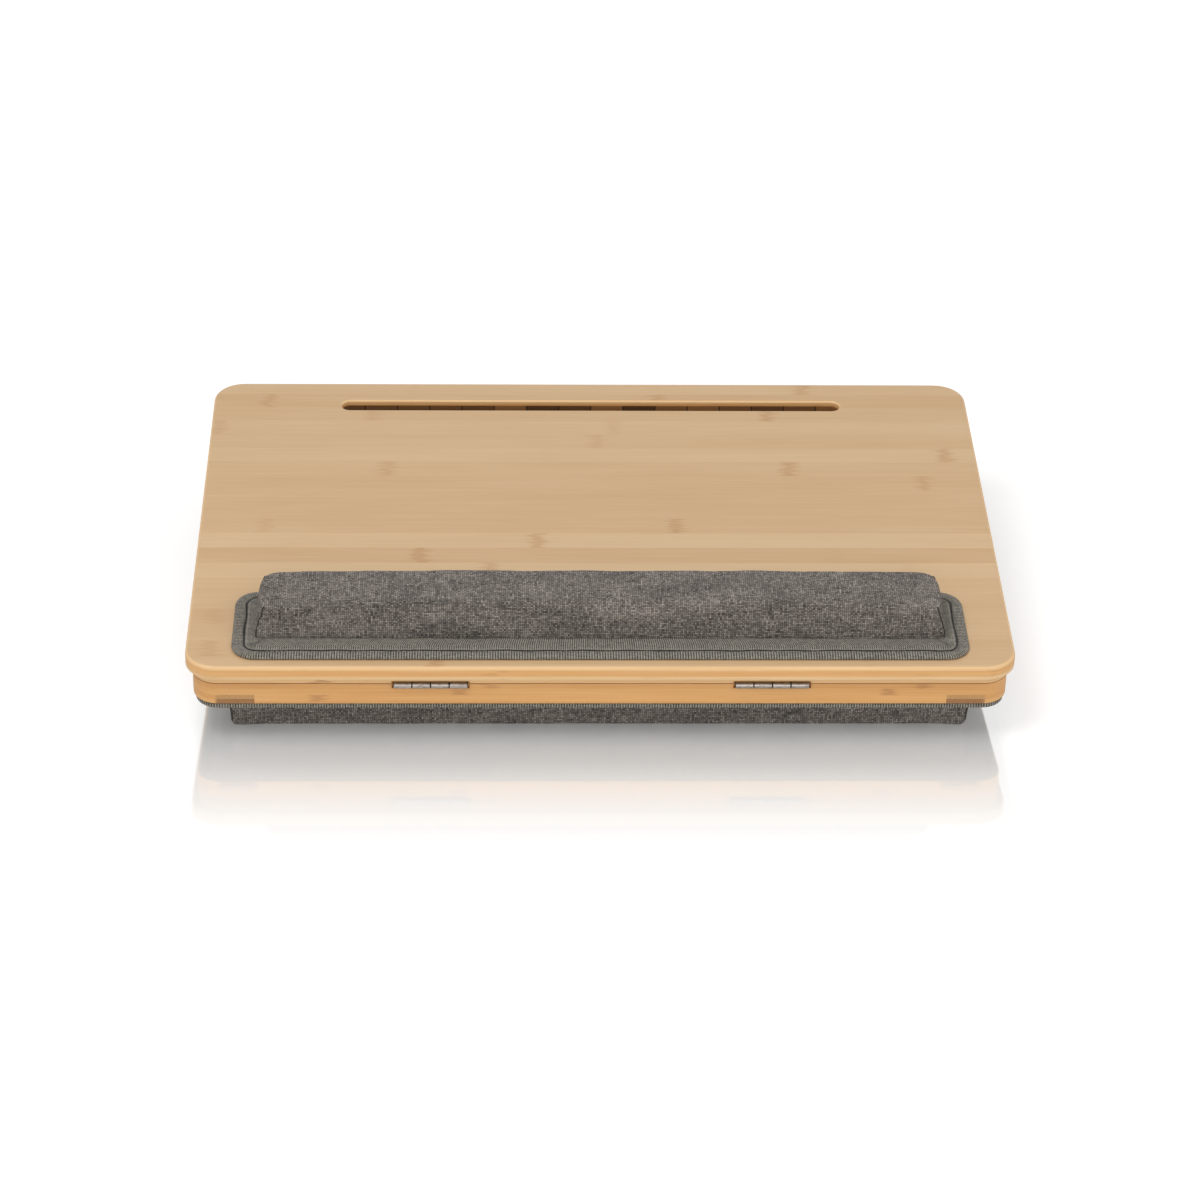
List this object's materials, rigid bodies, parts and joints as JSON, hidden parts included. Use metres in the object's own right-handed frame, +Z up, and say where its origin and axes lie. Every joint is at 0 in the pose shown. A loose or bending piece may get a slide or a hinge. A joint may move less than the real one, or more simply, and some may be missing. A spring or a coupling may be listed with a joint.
{
  "type": "lap desk with lift lid",
  "caption": "Lap desk with a hinged bamboo lid over a shallow compartment, a padded wrist rest, a device slot and a wedge cushion underneath.",
  "frame": {"origin": "on the table plane: midway between the lid's left and right ends, and midway between the foremost and rearmost points of the closed desk, at the cushion's flat bottom", "axes": "+X to the user's right along the hinge line, +Y from the user towards the back, +Z up"},
  "size_m": [0.56, 0.3712, 0.0994],
  "materials": {
    "bamboo_top": "satin lacquer over light strip bamboo",
    "bamboo_edge": "satin lacquer over warm bamboo edges",
    "bamboo_floor": "unfinished thin bamboo ply",
    "hinge_steel": "satin nickel plate",
    "tweed": "grey tweed weave with light flecks",
    "webbing": "ribbed grey-olive binding tape",
    "border_cloth": "flat ribbed border cloth",
    "liner": "black backing cloth",
    "foam": "cut foam",
    "loop_tape": "loop fastening tape",
    "hook_tape": "hook fastening tape"
  },
  "bodies": {
    "base": {"base_front_rail": "bamboo_edge", "base_back_rail": "bamboo_edge", "base_left_rail": "bamboo_edge", "base_right_rail": "bamboo_edge", "compartment_floor": "bamboo_floor", "hinge_leaves_base": "hinge_steel", "hinge_pins": "hinge_steel", "hinge_screws_base": "hinge_steel", "cushion_cover": "tweed", "cushion_foam": "foam", "cushion_flange": "border_cloth", "cushion_binding": "webbing", "cushion_backing": "liner", "cushion_loop_tape": "loop_tape", "cushion_hook_tape": "hook_tape"},
    "lid": {"lid_board": "bamboo_top", "rim_front": "bamboo_edge", "rim_back": "bamboo_edge", "rim_left": "bamboo_edge", "rim_right": "bamboo_edge", "hinge_leaves_lid": "hinge_steel", "hinge_screws_lid": "hinge_steel", "wrist_rest_cover": "tweed", "wrist_rest_foam": "foam", "wrist_rest_flange": "border_cloth", "wrist_rest_binding": "webbing", "wrist_rest_backing": "liner", "wrist_rest_loop_tape": "loop_tape", "wrist_rest_hook_tape": "hook_tape"}
  },
  "joints": [
    {"name": "lid_hinge", "type": "hinge", "parent": "base", "child": "lid", "pos_m": [0, -0.18036, 0.04589], "axis": [1, 0, 0], "range_deg": [0, 110]}
  ]
}
